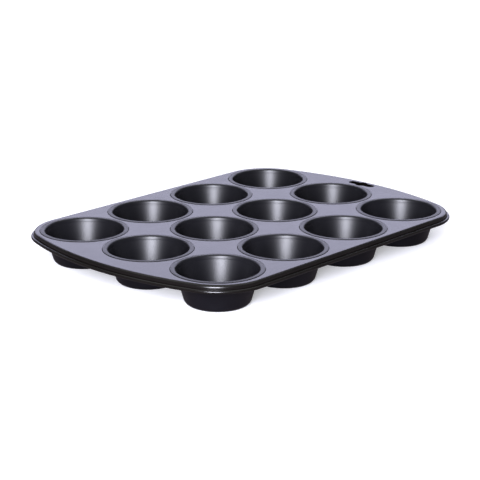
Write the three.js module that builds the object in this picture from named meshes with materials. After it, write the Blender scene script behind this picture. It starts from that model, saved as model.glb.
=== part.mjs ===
// A twelve-cup muffin tin: a pressed frame sheet with a rolled rim, twelve drawn cups clinched into
// its holes, and the steel wire that stiffens the rim. Millimetres, +Z up. The origin is the middle
// of the underside, so the cup bases stand on z = 0. X is the long side, Y the short side.

import * as THREE from "three";
import { mergeGeometries, mergeVertices } from "three/addons/utils/BufferGeometryUtils.js";

// ---- driving dimensions --------------------------------------------------------------------------

const COLUMNS = 4; // cups along X
const ROWS = 3; // cups along Y
const PITCH = 80.2; // from one cup's centre to the next, both ways
const HEIGHT = 29.6; // from the cup bases to the top of the rings
const SHEET = 0.4; // thickness of the frame sheet and of the cups

const WALL_TOP_RADIUS = 35; // outside of the conical wall, carried up to the ring's top
const WALL_FOOT_RADIUS = 26.69; // outside of the conical wall, carried down to the base
const FOOT_FILLET = 5.9; // outside radius where the wall turns into the base

const RING_RISE = 0.45; // how far the top of a cup's flange stands above the frame sheet
const RING_RADIUS = 38.3; // outer edge of the flange
const CROWN_INNER = 35.6; // the flange is level between these two radii
const CROWN_OUTER = 36.8;
const EDGE_DROP = 0.25; // how far the flange's outer edge falls below its top
const FLANGE_BEND = 1.3; // top radius where the wall turns into the flange

const BEAD_DEPTH = 3.7; // middle of the locking bead, below the top of the ring
const BEAD_HALF_HEIGHT = 0.6;
const BEAD_PROUD = 0.75; // how far the bead stands out of the wall

const COLLAR_DEPTH = 2.9; // lower edge of the sheet's turned-down collar, below the top of the ring
const COLLAR_GAP = 0.35; // between a cup's wall and the collar round it
const COLLAR_BEND = 1.1; // how far out of the collar the sheet begins to turn down

const HALF_LENGTH = 174.5; // middle of a short side, where the flat sheet ends
const HALF_WIDTH = 122.5; // long side, where the flat sheet ends
const BOW_RADIUS = 292; // the short sides bow outwards
const CORNER_RADIUS = 42;

const RIM_BEND = 2.5; // outside radius where the sheet turns down into the skirt
const CURL_RADIUS = 1.5; // outside of the rolled edge
const CURL_OUT = 3.5; // middle of the rolled edge, outward from the flat sheet's end
const CURL_DOWN = 5.2; // middle of the rolled edge, below the sheet's top
const CURL_END = 110; // degrees: where the rolled edge stops, short of touching the skirt
const WIRE_RADIUS = 0.85;
const WIRE_BUTT_SHARE = 0.9; // how much of its last step round the rim the wire fills

const SLOT_CENTRE_X = 167.3; // the hanging slot, in the middle of one short side
const SLOT_LENGTH = 29;
const SLOT_WIDTH = 7.8;
const SLOT_EYE_RADIUS = 6.1; // the round eye in the middle of the slot

const ROUND_STEPS = 24; // round a cup, shared by its hole and its collar
const CORNER_STEPS = 9;
const BOW_STEPS = 6;
const CURL_STEP = 45; // degrees
const WIRE_SIDES = 6;
const SLOT_ARC_STEPS = 6;

// ---- derived sizes -------------------------------------------------------------------------------

const SHEET_TOP = HEIGHT - RING_RISE;
const WALL_SLOPE = (WALL_TOP_RADIUS - WALL_FOOT_RADIUS) / HEIGHT;
const WALL_LEAN = Math.atan(WALL_SLOPE); // from vertical
const WALL_SHIFT = SHEET / Math.cos(WALL_LEAN); // sheet thickness measured along the radius

const outerWall = (depth) => WALL_TOP_RADIUS - WALL_SLOPE * depth;
const innerWall = (depth) => outerWall(depth) - WALL_SHIFT;

const HOLE_RADIUS = outerWall(RING_RISE) + COLLAR_GAP + COLLAR_BEND;

// ---- surfaces ------------------------------------------------------------------------------------

// A profile of [radius, z] points turned about the Z axis.
function turned(profile) {
  const points = profile.map(([radius, z]) => new THREE.Vector2(radius, z));
  return new THREE.LatheGeometry(points, ROUND_STEPS).rotateX(Math.PI / 2);
}

const loopAt = (points, z) => points.map((p) => new THREE.Vector3(p.x, p.y, z));

const circle = (x, y, radius) =>
  new THREE.EllipseCurve(x, y, radius, radius).getPoints(ROUND_STEPS).slice(0, -1);

// Joins each closed loop of points to the next. The loops run the same way and have equal counts.
function skin(loops) {
  const count = loops[0].length;
  const index = [];
  for (let loop = 0; loop + 1 < loops.length; loop++) {
    for (let i = 0; i < count; i++) {
      const a = loop * count + i;
      const b = loop * count + ((i + 1) % count);
      index.push(a, b, b + count, a, b + count, a + count);
    }
  }
  return new THREE.BufferGeometry().setFromPoints(loops.flat()).setIndex(index);
}

// A flat face with holes, facing up, or down with `down`.
function flatFace(edge, holes, z, { down = false } = {}) {
  const shape = new THREE.Shape(edge);
  shape.holes = holes.map((hole) => new THREE.Path(hole));
  const face = new THREE.ShapeGeometry(shape).translate(0, 0, z);
  if (down) {
    face.setIndex([...face.getIndex().array].reverse());
  }
  return face;
}

// Welds patches that share their edge points into one closed surface.
function welded(patches) {
  const bare = patches.map((patch) => patch.deleteAttribute("normal").deleteAttribute("uv"));
  const whole = mergeVertices(mergeGeometries(bare));
  whole.computeVertexNormals();
  return whole;
}

// ---- the outline and what follows it -------------------------------------------------------------

// The flat sheet's outline, moved outward by `offset`: bowed short sides, straight long sides and
// round corners that meet the bows smoothly. Every offset gives the same number of points.
function outline(offset) {
  const bowX = HALF_LENGTH - BOW_RADIUS;
  const cornerY = HALF_WIDTH - CORNER_RADIUS;
  const reach = BOW_RADIUS - CORNER_RADIUS;
  const cornerX = bowX + Math.sqrt(reach * reach - cornerY * cornerY);
  const turn = Math.asin(cornerY / reach);
  const quarter = Math.PI / 2;
  const arc = (x, y, radius, from, to, steps) =>
    new THREE.EllipseCurve(x, y, radius + offset, radius + offset, from, to).getPoints(steps);
  const bow = (x, middle) => arc(x, 0, BOW_RADIUS, middle - turn, middle + turn, BOW_STEPS).slice(0, -1);
  const corner = (x, y, from, to) => arc(x, y, CORNER_RADIUS, from, to, CORNER_STEPS);
  return [
    ...bow(bowX, 0),
    ...corner(cornerX, cornerY, turn, quarter),
    ...corner(-cornerX, cornerY, quarter, 2 * quarter - turn).slice(0, -1),
    ...bow(-bowX, 2 * quarter),
    ...corner(-cornerX, -cornerY, 2 * quarter + turn, 3 * quarter),
    ...corner(cornerX, -cornerY, 3 * quarter, 4 * quarter - turn).slice(0, -1),
  ];
}

// Points on a circle about the rolled edge's middle, from one angle to another in degrees, as
// [outward, z]. Zero degrees points outward and 90 points up. The last step may be a short one.
function aboutCurl(radius, from, to, step) {
  const count = Math.ceil(Math.abs(to - from) / step);
  return Array.from({ length: count + 1 }, (_, i) => {
    const degrees = i < count ? from + Math.sign(to - from) * step * i : to;
    const angle = THREE.MathUtils.degToRad(degrees);
    const z = SHEET_TOP - CURL_DOWN + radius * Math.sin(angle);
    return [CURL_OUT + radius * Math.cos(angle), z];
  });
}

// ---- frame sheet ---------------------------------------------------------------------------------

const cupCentres = [];
for (let column = 0; column < COLUMNS; column++) {
  for (let row = 0; row < ROWS; row++) {
    cupCentres.push({
      name: `cup_${column + 1}_${row + 1}`,
      x: (column - (COLUMNS - 1) / 2) * PITCH,
      y: (row - (ROWS - 1) / 2) * PITCH,
    });
  }
}

// The hanging slot's outline: a long slot with a round eye in its middle.
function slotOutline() {
  const half = SLOT_WIDTH / 2;
  const endY = SLOT_LENGTH / 2 - half;
  const eyeTurn = Math.acos(half / SLOT_EYE_RADIUS);
  const arc = (y, radius, from, to) =>
    new THREE.EllipseCurve(SLOT_CENTRE_X, y, radius, radius, from, to).getPoints(SLOT_ARC_STEPS);
  return [
    ...arc(0, SLOT_EYE_RADIUS, -eyeTurn, eyeTurn),
    ...arc(endY, half, 0, Math.PI),
    ...arc(0, SLOT_EYE_RADIUS, Math.PI - eyeTurn, Math.PI + eyeTurn),
    ...arc(-endY, half, Math.PI, 2 * Math.PI),
  ];
}

// The collar turned down round a hole, from the sheet's top round its edge to the sheet's
// underside. It follows the cup's wall and ends on the locking bead.
function collar(x, y) {
  const inside = outerWall(COLLAR_DEPTH) + COLLAR_GAP;
  return skin([
    loopAt(circle(x, y, HOLE_RADIUS), SHEET_TOP),
    loopAt(circle(x, y, inside), HEIGHT - COLLAR_DEPTH),
    loopAt(circle(x, y, inside + WALL_SHIFT), HEIGHT - COLLAR_DEPTH),
    loopAt(circle(x, y, HOLE_RADIUS), SHEET_TOP - SHEET),
  ]);
}

// The turned-down skirt with its outward-rolled edge, from the sheet's underside round the cut edge
// to the sheet's top.
function rim() {
  const bendDrop = RIM_BEND - SHEET;
  const section = [
    [0, SHEET_TOP - SHEET],
    [bendDrop * Math.SQRT1_2, SHEET_TOP - RIM_BEND + bendDrop * Math.SQRT1_2],
    [bendDrop, SHEET_TOP - RIM_BEND],
    ...aboutCurl(CURL_RADIUS, -180, CURL_END, CURL_STEP),
    ...aboutCurl(CURL_RADIUS - SHEET, -180, CURL_END, CURL_STEP).reverse(),
    [RIM_BEND, SHEET_TOP - RIM_BEND],
    [RIM_BEND * Math.SQRT1_2, SHEET_TOP - RIM_BEND + RIM_BEND * Math.SQRT1_2],
    [0, SHEET_TOP],
  ];
  return skin(section.map(([outward, z]) => loopAt(outline(outward), z)));
}

function frameSheet() {
  const slot = slotOutline();
  const holes = [...cupCentres.map(({ x, y }) => circle(x, y, HOLE_RADIUS)), slot];
  const underside = SHEET_TOP - SHEET;
  return welded([
    flatFace(outline(0), holes, SHEET_TOP),
    flatFace(outline(0), holes, underside, { down: true }),
    skin([loopAt(slot, SHEET_TOP), loopAt(slot, underside)]),
    ...cupCentres.map(({ x, y }) => collar(x, y)),
    rim(),
  ]);
}

// ---- rim wire ------------------------------------------------------------------------------------

// The round wire inside the rolled edge, bent to the outline, with a butt gap where its ends meet.
function rimWire() {
  const turn = 360 / WIRE_SIDES;
  const strands = aboutCurl(WIRE_RADIUS, 0, turn - 360, turn).map(([outward, z]) => {
    const strand = loopAt(outline(outward), z);
    return [...strand, strand.at(-1).clone().lerp(strand[0], WIRE_BUTT_SHARE)];
  });
  const sections = strands[0].map((_, station) => strands.map((strand) => strand[station]));
  const side = skin(sections);
  const index = [...side.getIndex().array];
  const last = WIRE_SIDES * (sections.length - 1);
  for (let i = 1; i + 1 < WIRE_SIDES; i++) {
    index.push(0, i + 1, i);
    index.push(last, last + i, last + i + 1);
  }
  side.setIndex(index);
  return welded([side]);
}

// ---- cup -----------------------------------------------------------------------------------------

// The round corner between wall and base for a fillet of the given radius: three points.
function footCorner(wallRadius, floorZ, fillet) {
  const turn = Math.PI / 2 - WALL_LEAN;
  const tangent = fillet * Math.tan(turn / 2);
  const centre = wallRadius - tangent;
  return [0, turn / 2, turn].map((angle) => [
    centre + fillet * Math.sin(angle),
    floorZ + fillet * (1 - Math.cos(angle)),
  ]);
}

// The bead rolled outward in the wall, just under the collar: three points.
function bead(wall) {
  const [top, bottom] = [BEAD_DEPTH - BEAD_HALF_HEIGHT, BEAD_DEPTH + BEAD_HALF_HEIGHT];
  return [
    [wall(top), HEIGHT - top],
    [wall(BEAD_DEPTH) + BEAD_PROUD, HEIGHT - BEAD_DEPTH],
    [wall(bottom), HEIGHT - bottom],
  ];
}

// One drawn cup: flat base, conical wall, locking bead, and a flange that lies on the frame sheet
// and falls away to a thin edge. The outside runs up from the base and the inside runs back down.
function cup() {
  const under = HEIGHT - SHEET;
  const bendDepth = FLANGE_BEND * (1 - Math.sin(WALL_LEAN));
  const floorRadius = WALL_FOOT_RADIUS + WALL_SLOPE * SHEET - WALL_SHIFT;
  return turned([
    [0, 0],
    ...footCorner(WALL_FOOT_RADIUS, 0, FOOT_FILLET),
    ...bead(outerWall).reverse(),
    [outerWall(bendDepth), HEIGHT - bendDepth],
    [CROWN_INNER, under],
    [RING_RADIUS, under],
    [RING_RADIUS, HEIGHT - EDGE_DROP],
    [CROWN_OUTER, HEIGHT],
    [CROWN_INNER, HEIGHT],
    [innerWall(bendDepth), HEIGHT - bendDepth],
    ...bead(innerWall),
    ...footCorner(floorRadius, SHEET, FOOT_FILLET - SHEET).reverse(),
    [0, SHEET],
  ]);
}

// ---- the tin -------------------------------------------------------------------------------------

const coatedSteel = (color, roughness) =>
  new THREE.MeshStandardMaterial({ color, roughness, metalness: 0.6 });

const bareSteel = new THREE.MeshStandardMaterial({ color: 0x8a8c90, roughness: 0.45, metalness: 1 });

function mesh(name, geometry, material) {
  const made = new THREE.Mesh(geometry, material);
  made.name = name;
  return made;
}

const tin = new THREE.Group();
tin.name = "muffin_tin";
tin.add(mesh("frame_sheet", frameSheet(), coatedSteel(0x3a3638, 0.32)));
tin.add(mesh("rim_wire", rimWire(), bareSteel));
for (const { name, x, y } of cupCentres) {
  const made = mesh(name, cup(), coatedSteel(0x302f33, 0.3));
  made.position.set(x, y, 0);
  tin.add(made);
}

export default tin;
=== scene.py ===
"""A twelve-cup muffin tin in non-stick coated steel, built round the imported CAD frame.

Everything is in metres in the CAD's own frame. Profiles are written in millimetres and scaled once,
where the meshes are made.
"""

import math

import bpy
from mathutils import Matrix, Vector
from mathutils.geometry import delaunay_2d_cdt

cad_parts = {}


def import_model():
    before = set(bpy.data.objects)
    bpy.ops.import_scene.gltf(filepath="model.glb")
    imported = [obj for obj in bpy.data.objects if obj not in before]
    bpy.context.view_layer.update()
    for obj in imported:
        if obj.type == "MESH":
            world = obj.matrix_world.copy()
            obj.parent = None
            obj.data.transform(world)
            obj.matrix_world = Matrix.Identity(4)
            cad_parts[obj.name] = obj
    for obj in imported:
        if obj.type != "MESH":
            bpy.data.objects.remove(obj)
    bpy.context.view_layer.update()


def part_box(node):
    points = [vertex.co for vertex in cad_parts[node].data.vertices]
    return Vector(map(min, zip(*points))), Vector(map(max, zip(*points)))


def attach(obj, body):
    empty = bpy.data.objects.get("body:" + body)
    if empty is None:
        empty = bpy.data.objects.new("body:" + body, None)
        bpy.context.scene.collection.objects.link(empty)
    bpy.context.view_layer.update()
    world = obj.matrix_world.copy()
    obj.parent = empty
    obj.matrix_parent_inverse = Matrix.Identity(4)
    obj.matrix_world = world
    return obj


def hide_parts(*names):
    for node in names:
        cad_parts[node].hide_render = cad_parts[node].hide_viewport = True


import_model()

MM = 0.001

# ---- what the CAD says, in millimetres -----------------------------------------------------------

CUP_NAMES = [f"cup_{column}_{row}" for column in range(1, 5) for row in range(1, 4)]


def middle(node):
    low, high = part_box(node)
    return (low.x + high.x) / 2 / MM, (low.y + high.y) / 2 / MM


CENTRES = {name: middle(name) for name in CUP_NAMES}
SHEET_LOW, SHEET_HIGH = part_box("frame_sheet")
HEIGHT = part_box("cup_1_1")[1].z / MM
THICK = 0.4

RING_RISE = 0.45
SHEET_TOP = HEIGHT - RING_RISE
WALL_TOP_RADIUS = 35.0
WALL_FOOT_RADIUS = 26.69
WALL_SLOPE = (WALL_TOP_RADIUS - WALL_FOOT_RADIUS) / HEIGHT
WALL_LEAN = math.atan(WALL_SLOPE)
WALL_SHIFT = THICK / math.cos(WALL_LEAN)
FOOT_FILLET = 5.9
RING_RADIUS = 38.3

CURL_RADIUS = 1.5
CURL_OUT = 3.5
CURL_DOWN = 5.2
RIM_BEND = 2.5
HALF_LENGTH = (SHEET_HIGH.x - SHEET_LOW.x) / 2 / MM - CURL_OUT - CURL_RADIUS
HALF_WIDTH = (SHEET_HIGH.y - SHEET_LOW.y) / 2 / MM - CURL_OUT - CURL_RADIUS
BOW_RADIUS = 292
CORNER_RADIUS = 42
CURL_END = 110
WIRE_RADIUS = 0.85

SLOT_X = 167.3
SLOT_LENGTH = 29
SLOT_WIDTH = 7.8
SLOT_EYE_RADIUS = 6.1

COLLAR_DEPTH = 2.9
COLLAR_GAP = 0.35
COLLAR_BEND = 1.1
BEAD_DEPTH = 3.7

GUARD = 0.4  # a level strip round each edge of the flat, so that its shading stays level

# ---- details finer than the CAD, in millimetres ---------------------------------------------------

SLOT_ROUND = 0.22
MOUTH_ROUND = 1.7
CROWN_DROP = 0.19  # how far the flange's top falls before its edge rolls over
EDGE_ROLL = 0.45
EDGE_LIFT = 0.1  # where the flange's edge is widest, above the frame sheet
FLANGE_GAP = 0.03
FLANGE_LAP = (1.0, 0.15)  # the flange's underside is level between these distances from its edge
BASE_RINGS = (8, 16)  # radii of the rings of points across a cup's level base
# the crease pressed in the sheet round each flange, as (distance outside the flange, depth)
CREASE = [
    (0.85, 0),
    (0.76, 0.02),
    (0.68, 0.07),
    (0.16, 0.47),
    (0.08, 0.5),
    (-0.12, 0.5),
    (-0.2, 0.45),
    (-0.26, 0.05),
    (-0.36, 0),
]
# the same crease seen from under the sheet, going outward
CREASE_BACK = [(-0.7, 0), (-0.45, 0.42), (0.3, 0.42), (0.95, 0)]
HOLE_EDGE = RING_RADIUS + 1.1  # where the flat of the sheet begins, outside the crease
COLLAR_EDGE_ROUND = 0.1


# ---- mesh helpers --------------------------------------------------------------------------------


def arc(cx, cy, radius, start, end, steps):
    """Points on a circle, from one angle to another in degrees, both ends included."""
    turns = [math.radians(start + (end - start) * i / steps) for i in range(steps + 1)]
    return [(cx + radius * math.cos(t), cy + radius * math.sin(t)) for t in turns]


def add_mesh(name, points, faces):
    data = bpy.data.meshes.new(name)
    data.from_pydata([(x * MM, y * MM, z * MM) for x, y, z in points], [], faces)
    data.validate()
    data.shade_smooth()
    return data


def add_object(name, data, location=(0, 0, 0)):
    made = bpy.data.objects.new(name, data)
    made.location = location
    bpy.context.scene.collection.objects.link(made)
    return made


class Surface:
    """Points and faces collected from patches that share their edge loops."""

    def __init__(self):
        self.points = []
        self.faces = []

    def loop(self, points, z):
        start = len(self.points)
        self.points += [(x, y, z) for x, y in points]
        return list(range(start, len(self.points)))

    def bridge(self, a, b):
        """Joins loop a to loop b. The faces look outward when both run anticlockwise and b is below."""
        count = len(a)
        for i in range(count):
            j = (i + 1) % count
            self.faces.append((a[i], b[i], b[j], a[j]))

    def flat(self, edge, holes, down):
        """Fills the level space between a loop and the loops of its holes."""
        rings = [edge, *holes]
        ids = [i for ring in rings for i in ring]
        at = {i: n for n, i in enumerate(ids)}
        flat_points = [Vector(self.points[i][:2]) for i in ids]
        sides = [
            (at[ring[i]], at[ring[(i + 1) % len(ring)]]) for ring in rings for i in range(len(ring))
        ]
        made, _, triangles, origins, _, _ = delaunay_2d_cdt(flat_points, sides, [], 1, 1e-6)
        ring_of = {i: n for n, ring in enumerate(rings) for i in ring}
        for triangle in triangles:
            face = [ids[origins[n][0]] for n in triangle]
            # a triangle with all its corners on one hole's edge lies inside the hole
            if ring_of[face[0]] and ring_of[face[0]] == ring_of[face[1]] == ring_of[face[2]]:
                continue
            self.faces.append(tuple(reversed(face)) if down else tuple(face))


# ---- the cup's wall -------------------------------------------------------------------------------


def outer_wall(depth):
    """Outside radius of the tapered wall at a depth below the rim."""
    return WALL_TOP_RADIUS - WALL_SLOPE * depth


def inner_wall(depth):
    return outer_wall(depth) - WALL_SHIFT


# ---- the frame sheet -----------------------------------------------------------------------------


def outline(offset, corner_steps=20, bow_steps=16):
    """The flat sheet's outline moved outward, anticlockwise, always with the same number of points."""
    bow_x = HALF_LENGTH - BOW_RADIUS
    corner_y = HALF_WIDTH - CORNER_RADIUS
    reach = BOW_RADIUS - CORNER_RADIUS
    corner_x = bow_x + math.sqrt(reach * reach - corner_y * corner_y)
    turn = math.degrees(math.asin(corner_y / reach))
    bow, corner = BOW_RADIUS + offset, CORNER_RADIUS + offset
    return [
        *arc(bow_x, 0, bow, -turn, turn, bow_steps)[:-1],
        *arc(corner_x, corner_y, corner, turn, 90, corner_steps),
        *arc(-corner_x, corner_y, corner, 90, 180 - turn, corner_steps)[:-1],
        *arc(-bow_x, 0, bow, 180 - turn, 180 + turn, bow_steps)[:-1],
        *arc(-corner_x, -corner_y, corner, 180 + turn, 270, corner_steps),
        *arc(corner_x, -corner_y, corner, 270, 360 - turn, corner_steps)[:-1],
    ]


def rim_section():
    """The skirt and its rolled edge as (outward, z): the sheet's top, down the outside, round the
    cut edge and back along the inside to the sheet's underside."""
    curl_z = SHEET_TOP - CURL_DOWN
    middle_of_sheet = CURL_RADIUS - THICK / 2
    cut = math.radians(CURL_END)
    cut_x = CURL_OUT + middle_of_sheet * math.cos(cut)
    cut_z = curl_z + middle_of_sheet * math.sin(cut)
    return [
        (-GUARD, SHEET_TOP),
        *arc(0, SHEET_TOP - RIM_BEND, RIM_BEND, 90, 0, 10),
        *arc(CURL_OUT, curl_z, CURL_RADIUS - THICK, -180, CURL_END, 20),
        *arc(cut_x, cut_z, THICK / 2, CURL_END + 180, CURL_END, 6)[1:-1],
        *arc(CURL_OUT, curl_z, CURL_RADIUS, CURL_END, -180, 24),
        *arc(0, SHEET_TOP - RIM_BEND, RIM_BEND - THICK, 0, 90, 6),
        (-GUARD, SHEET_TOP - THICK),
    ]


def collar_section():
    """The collar turned down round a hole as (radius, z), from the sheet's top round its lower edge
    to the sheet's underside."""
    lower = outer_wall(COLLAR_DEPTH) + COLLAR_GAP
    lean = math.degrees(WALL_LEAN)
    # the bend's middle lies where its arc touches the collar's inner face
    bend_z = SHEET_TOP - COLLAR_BEND
    bend_r = outer_wall(HEIGHT - bend_z) + COLLAR_GAP + COLLAR_BEND / math.cos(WALL_LEAN)
    edge_z = HEIGHT - COLLAR_DEPTH
    under = SHEET_TOP - THICK
    return [
        (HOLE_EDGE, SHEET_TOP),
        *[(RING_RADIUS + out, SHEET_TOP - down) for out, down in CREASE],
        (bend_r + GUARD, SHEET_TOP),
        *arc(bend_r, bend_z, COLLAR_BEND, 90, 180 - lean, 8),
        (lower, edge_z + COLLAR_EDGE_ROUND),
        (lower + COLLAR_EDGE_ROUND, edge_z),
        (lower + WALL_SHIFT - COLLAR_EDGE_ROUND, edge_z),
        (lower + WALL_SHIFT, edge_z + COLLAR_EDGE_ROUND),
        *arc(bend_r, bend_z, COLLAR_BEND - THICK, 180 - lean, 90, 6),
        (bend_r + GUARD, under),
        *[(RING_RADIUS + out, under - down) for out, down in CREASE_BACK],
        (HOLE_EDGE, under),
    ]


def slot_outline(outward):
    """The hanging slot: long, with a round eye in its middle. Anticlockwise."""
    half = SLOT_WIDTH / 2 + outward
    end_y = (SLOT_LENGTH - SLOT_WIDTH) / 2
    eye = SLOT_EYE_RADIUS + outward
    turn = math.degrees(math.acos(half / eye))
    return [
        *arc(SLOT_X, 0, eye, -turn, turn, 12),
        *arc(SLOT_X, end_y, half, 0, 180, 14),
        *arc(SLOT_X, 0, eye, 180 - turn, 180 + turn, 12),
        *arc(SLOT_X, -end_y, half, 180, 360, 14),
    ]


def slot_section():
    """The slot's rounded edge as (outward, z)."""
    low = SHEET_TOP - THICK
    return [
        (SLOT_ROUND + GUARD / 2, SHEET_TOP),
        *arc(SLOT_ROUND, SHEET_TOP - SLOT_ROUND, SLOT_ROUND, 90, 180, 4),
        *arc(SLOT_ROUND, low + SLOT_ROUND, SLOT_ROUND, 180, 270, 4),
        (SLOT_ROUND + GUARD / 2, low),
    ]


HOLE_STEPS = 96


def frame_sheet():
    made = Surface()
    rim = [made.loop(outline(out), z) for out, z in rim_section()]
    for a, b in zip(rim, rim[1:]):
        made.bridge(a, b)
    tops, bottoms = [], []
    for x, y in CENTRES.values():
        rings = [
            made.loop(arc(x, y, radius, 0, 360, HOLE_STEPS)[:-1], z)
            for radius, z in collar_section()
        ]
        for a, b in zip(rings, rings[1:]):
            made.bridge(b, a)
        tops.append(rings[0])
        bottoms.append(rings[-1])
    rings = [made.loop(slot_outline(out), z) for out, z in slot_section()]
    for a, b in zip(rings, rings[1:]):
        made.bridge(b, a)
    made.flat(rim[0], [*tops, rings[0]], down=False)
    made.flat(rim[-1], [*bottoms, rings[-1]], down=True)
    return add_mesh("frame_sheet_pressed", made.points, made.faces)


# ---- the wire in the rolled edge -----------------------------------------------------------------


def rim_wire():
    """A round wire following the outline, with a small gap where its two ends butt."""
    made = Surface()
    curl_z = SHEET_TOP - CURL_DOWN
    sides = 12
    closing = 0.9  # share of the last step back to the start that the wire runs, short of its own end
    strands = []
    for out, z in arc(CURL_OUT, curl_z, WIRE_RADIUS, 0, 360, sides)[:-1]:
        path = outline(out)
        (x0, y0), (x1, y1) = path[-1], path[0]
        end = (x0 + (x1 - x0) * closing, y0 + (y1 - y0) * closing)
        strands.append([(x, y, z) for x, y in [*path, end]])
    stations = len(strands[0])
    rings = []
    for s in range(stations):
        start = len(made.points)
        made.points += [strand[s] for strand in strands]
        rings.append(list(range(start, len(made.points))))
    for a, b in zip(rings, rings[1:]):
        made.bridge(a, b)
    made.faces.append(tuple(rings[0]))
    made.faces.append(tuple(reversed(rings[-1])))
    return add_mesh("rim_wire_round", made.points, made.faces)


# ---- a cup ---------------------------------------------------------------------------------------


def fillet(wall_radius, floor_z, radius, steps):
    """The round corner between base and wall, as (radius, z) from the base up."""
    turn = math.pi / 2 - WALL_LEAN
    centre = wall_radius - radius * math.tan(turn / 2)
    return arc(centre, floor_z + radius, radius, -90, -90 + math.degrees(turn), steps)


def bead(wall, proud, half, steps):
    """The locking bead as (radius, z), from above it to below it."""
    made = []
    for i in range(steps + 1):
        share = -1 + 2 * i / steps
        depth = BEAD_DEPTH + share * half
        bump = proud * (1 + math.cos(math.pi * share)) / 2
        made.append((wall(depth) + bump, HEIGHT - depth))
    return made


def flange_top(mouth_r):
    """The flange's upper face as (radius, z), from its edge inward: a rolled-over edge, then a
    shallow arc that meets the mouth's round."""
    roll_r = RING_RADIUS - EDGE_ROLL
    reach = roll_r - mouth_r
    fall = 2 * math.atan(CROWN_DROP / reach)
    crown = reach / math.sin(fall)
    roll_height = RING_RISE - EDGE_LIFT - CROWN_DROP
    turns = [math.radians(t) for t in range(0, 90, 15)]
    return [
        *[
            (roll_r + EDGE_ROLL * math.cos(t), SHEET_TOP + EDGE_LIFT + roll_height * math.sin(t))
            for t in turns
        ],
        *arc(mouth_r, HEIGHT - crown, crown, 90 - math.degrees(fall), 90, 10)[:-1],
    ]


def cup_profile():
    """A cup's whole section as (radius, z): up the outside, over the flange, down the inside."""
    lean = math.degrees(WALL_LEAN)
    mouth_r = inner_wall(0) + MOUTH_ROUND * math.tan((math.pi / 2 - WALL_LEAN) / 2)
    mouth_z = HEIGHT - MOUTH_ROUND
    flange_low = SHEET_TOP + FLANGE_GAP
    return [
        (0, 0),
        *[(radius, 0) for radius in BASE_RINGS],
        *fillet(outer_wall(HEIGHT), 0, FOOT_FILLET, 10),
        *reversed(bead(outer_wall, proud=0.55, half=0.9, steps=8)),
        *arc(mouth_r, mouth_z, MOUTH_ROUND - THICK, 180 - lean, 90, 5),
        *[(RING_RADIUS - inward, flange_low) for inward in FLANGE_LAP],
        *flange_top(mouth_r),
        *arc(mouth_r, mouth_z, MOUTH_ROUND, 90, 180 - lean, 10),
        *bead(inner_wall, proud=0.1, half=1.1, steps=8),
        *reversed(fillet(inner_wall(HEIGHT - THICK), THICK, FOOT_FILLET - THICK, 10)),
        *[(radius, THICK) for radius in reversed(BASE_RINGS)],
        (0, THICK),
    ]


CUP_STEPS = 112


def cup_mesh():
    """The profile turned about Z, in the cup's own frame."""
    profile = cup_profile()
    points, faces, rings = [], [], []
    for radius, z in profile:
        if radius == 0:
            points.append((0, 0, z))
            rings.append([len(points) - 1])
            continue
        start = len(points)
        points += [(x, y, z) for x, y in arc(0, 0, radius, 0, 360, CUP_STEPS)[:-1]]
        rings.append(list(range(start, len(points))))
    for a, b in zip(rings, rings[1:]):
        for i in range(CUP_STEPS):
            j = (i + 1) % CUP_STEPS
            if len(a) == 1:
                faces.append((a[0], b[j], b[i]))
            elif len(b) == 1:
                faces.append((a[i], a[j], b[0]))
            else:
                faces.append((a[i], a[j], b[j], b[i]))
    return add_mesh("cup_drawn", points, faces)


# ---- materials -----------------------------------------------------------------------------------


def node_material(name):
    made = bpy.data.materials.new(name)
    made.use_nodes = True
    nodes = made.node_tree.nodes
    return made, nodes, made.node_tree.links, nodes["Principled BSDF"]


def noise(nodes, links, place, scale, detail=3.0, roughness=0.55):
    made = nodes.new("ShaderNodeTexNoise")
    made.inputs["Scale"].default_value = scale
    made.inputs["Detail"].default_value = detail
    made.inputs["Roughness"].default_value = roughness
    links.new(place, made.inputs["Vector"])
    return made.outputs["Fac"]


def ramp(nodes, links, value, stops):
    made = nodes.new("ShaderNodeValToRGB")
    elements = made.color_ramp.elements
    while len(elements) < len(stops):
        elements.new(0.5)
    for element, (position, color) in zip(elements, stops):
        element.position = position
        element.color = (*color, 1)
    links.new(value, made.inputs["Fac"])
    return made.outputs["Color"]


def spread(nodes, links, value, low, high):
    """Maps 0..1 to low..high."""
    made = nodes.new("ShaderNodeMapRange")
    made.inputs["To Min"].default_value = low
    made.inputs["To Max"].default_value = high
    links.new(value, made.inputs["Value"])
    return made.outputs["Result"]


COATING_IOR = 1.42


def coating(name, dark, light, rough_low, rough_high):
    """Non-stick coating: dark, faintly clouded, with the fine orange peel of a sprayed film."""
    made, nodes, links, shader = node_material(name)
    place = nodes.new("ShaderNodeNewGeometry").outputs["Position"]
    cloud = noise(nodes, links, place, 38)
    links.new(ramp(nodes, links, cloud, [(0.3, dark), (0.7, light)]), shader.inputs["Base Color"])
    sheen = noise(nodes, links, place, 70, 4)
    links.new(spread(nodes, links, sheen, rough_low, rough_high), shader.inputs["Roughness"])
    shader.inputs["IOR"].default_value = COATING_IOR
    peel = nodes.new("ShaderNodeBump")
    peel.inputs["Strength"].default_value = 0.12
    peel.inputs["Distance"].default_value = 0.00005
    links.new(noise(nodes, links, place, 1400, 2), peel.inputs["Height"])
    links.new(peel.outputs["Normal"], shader.inputs["Normal"])
    return made


def steel(name):
    made, nodes, links, shader = node_material(name)
    place = nodes.new("ShaderNodeNewGeometry").outputs["Position"]
    tones = [(0.3, (0.32, 0.33, 0.34)), (0.7, (0.5, 0.5, 0.51))]
    links.new(ramp(nodes, links, noise(nodes, links, place, 400), tones), shader.inputs["Base Color"])
    links.new(
        spread(nodes, links, noise(nodes, links, place, 900), 0.3, 0.5), shader.inputs["Roughness"]
    )
    shader.inputs["Metallic"].default_value = 1.0
    return made


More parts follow.
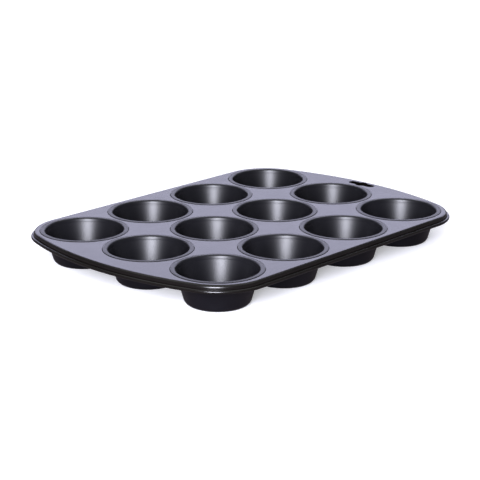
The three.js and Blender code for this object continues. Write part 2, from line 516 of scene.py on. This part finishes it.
FRAME_COATING = coating(
    "frame_nonstick", (0.0024, 0.0019, 0.0016), (0.0044, 0.0036, 0.0031), 0.21, 0.27
)
CUP_COATING = coating(
    "cup_nonstick", (0.0022, 0.0021, 0.0033), (0.0042, 0.0040, 0.0058), 0.34, 0.40
)
WIRE_STEEL = steel("wire_steel")

# ---- the pieces ----------------------------------------------------------------------------------


def piece(name, data, material, node, location=(0, 0, 0)):
    made = add_object(name, data, location)
    if not data.materials:  # the cups share one mesh
        data.materials.append(material)
    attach(made, "root")
    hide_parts(node)
    return made


piece("frame_sheet_pressed", frame_sheet(), FRAME_COATING, "frame_sheet")
piece("rim_wire_round", rim_wire(), WIRE_STEEL, "rim_wire")
cup_data = cup_mesh()
for node, (x, y) in CENTRES.items():
    name = node.replace("cup", "drawn_cup")
    piece(name, cup_data, CUP_COATING, node, (x * MM, y * MM, 0))

# ---- floor, light and camera ---------------------------------------------------------------------


def toward(azimuth, elevation):
    """Unit vector from the object, azimuth 0 towards -Y and 90 towards +X."""
    a, e = math.radians(azimuth), math.radians(elevation)
    return Vector((math.sin(a) * math.cos(e), -math.cos(a) * math.cos(e), math.sin(e)))


def camera_mix(nodes, links, others, camera):
    """One shader for what the camera sees directly and another for everything else."""
    mix = nodes.new("ShaderNodeMixShader")
    links.new(nodes.new("ShaderNodeLightPath").outputs["Is Camera Ray"], mix.inputs["Fac"])
    links.new(others, mix.inputs[1])
    links.new(camera, mix.inputs[2])
    return mix.outputs["Shader"]


def floor():
    """Pale paper. It glows a little, more so far off, and the tin's coating mirrors it as dim."""
    half = 6.0
    corners = [(-half, -half, 0), (half, -half, 0), (half, half, 0), (-half, half, 0)]
    data = bpy.data.meshes.new("floor")
    data.from_pydata(corners, [], [(0, 1, 2, 3)])
    made = add_object("floor", data, (0, 0, -0.0002))
    material = bpy.data.materials.new("floor_paper")
    material.use_nodes = True
    nodes, links = material.node_tree.nodes, material.node_tree.links
    nodes.clear()
    pale, dim = nodes.new("ShaderNodeBsdfDiffuse"), nodes.new("ShaderNodeBsdfDiffuse")
    pale.inputs["Color"].default_value = (0.88, 0.88, 0.88, 1)
    dim.inputs["Color"].default_value = (0.17, 0.145, 0.15, 1)
    away = nodes.new("ShaderNodeVectorMath")
    away.operation = "LENGTH"
    links.new(nodes.new("ShaderNodeNewGeometry").outputs["Position"], away.inputs[0])
    fade = nodes.new("ShaderNodeMapRange")
    fade.inputs["From Min"].default_value = 0.4
    fade.inputs["From Max"].default_value = 2.5
    fade.inputs["To Min"].default_value = 0.3
    links.new(away.outputs["Value"], fade.inputs["Value"])
    glow = nodes.new("ShaderNodeEmission")
    links.new(fade.outputs["Result"], glow.inputs["Strength"])
    lit = nodes.new("ShaderNodeAddShader")
    links.new(pale.outputs["BSDF"], lit.inputs[0])
    links.new(glow.outputs["Emission"], lit.inputs[1])
    surface = camera_mix(nodes, links, dim.outputs["BSDF"], lit.outputs["Shader"])
    links.new(surface, nodes.new("ShaderNodeOutputMaterial").inputs["Surface"])
    data.materials.append(material)


def area_light(name, azimuth, elevation, distance, width, height, radiance, color=(1, 1, 1)):
    """A soft box of the given radiance that faces the tin."""
    data = bpy.data.lights.new(name, "AREA")
    data.shape = "RECTANGLE"
    data.size, data.size_y = width, height
    data.energy = radiance * math.pi * width * height
    data.color = color
    made = bpy.data.objects.new(name, data)
    direction = toward(azimuth, elevation)
    made.location = direction * distance
    made.rotation_mode = "QUATERNION"
    made.rotation_quaternion = (-direction).to_track_quat("-Z", "Y")
    made.visible_camera = False
    bpy.context.scene.collection.objects.link(made)


CAMERA_AZIMUTH = -47.4
CAMERA_ELEVATION = 16.98
CAMERA_ROLL = 0.229
CAMERA_DISTANCE = 1.315
CAMERA_LENS = 115.46
LOOKS_AT = Vector((-0.0509, -0.04066, HEIGHT * MM - 0.0003))


def camera():
    data = bpy.data.cameras.new("camera")
    data.lens = CAMERA_LENS
    data.clip_start, data.clip_end = 0.05, 50
    made = bpy.data.objects.new("camera", data)
    back = toward(CAMERA_AZIMUTH, CAMERA_ELEVATION)
    made.location = LOOKS_AT + back * CAMERA_DISTANCE
    made.rotation_euler = (-back).to_track_quat("-Z", "Y").to_euler()
    made.rotation_euler.rotate_axis("Z", math.radians(CAMERA_ROLL))
    bpy.context.scene.collection.objects.link(made)
    bpy.context.scene.camera = made


def world():
    """A dim room, which the camera sees as the same pale paper as the floor."""
    made = bpy.data.worlds.new("studio")
    made.use_nodes = True
    nodes, links = made.node_tree.nodes, made.node_tree.links
    nodes.clear()
    room, paper = nodes.new("ShaderNodeBackground"), nodes.new("ShaderNodeBackground")
    room.inputs["Color"].default_value = (0.95, 0.96, 1, 1)
    room.inputs["Strength"].default_value = 0.2
    paper.inputs["Color"].default_value = (1, 1, 1, 1)
    surface = camera_mix(nodes, links, room.outputs["Background"], paper.outputs["Background"])
    links.new(surface, nodes.new("ShaderNodeOutputWorld").inputs["Surface"])
    bpy.context.scene.world = made


floor()
world()
area_light(
    "key",
    azimuth=-56,
    elevation=18.5,
    distance=1.7,
    width=0.66,
    height=0.8,
    radiance=45,
    color=(0.95, 0.96, 1.1),
)
area_light(
    "ceiling",
    azimuth=0,
    elevation=90,
    distance=2.0,
    width=3.4,
    height=3.4,
    radiance=0.7,
)
area_light(
    "back_card",
    azimuth=180 + CAMERA_AZIMUTH,
    elevation=24,
    distance=1.6,
    width=2.4,
    height=0.71,
    radiance=2.05,
    color=(0.885, 0.88, 1.19),
)
camera()
bpy.context.scene.view_settings.view_transform = "Standard"
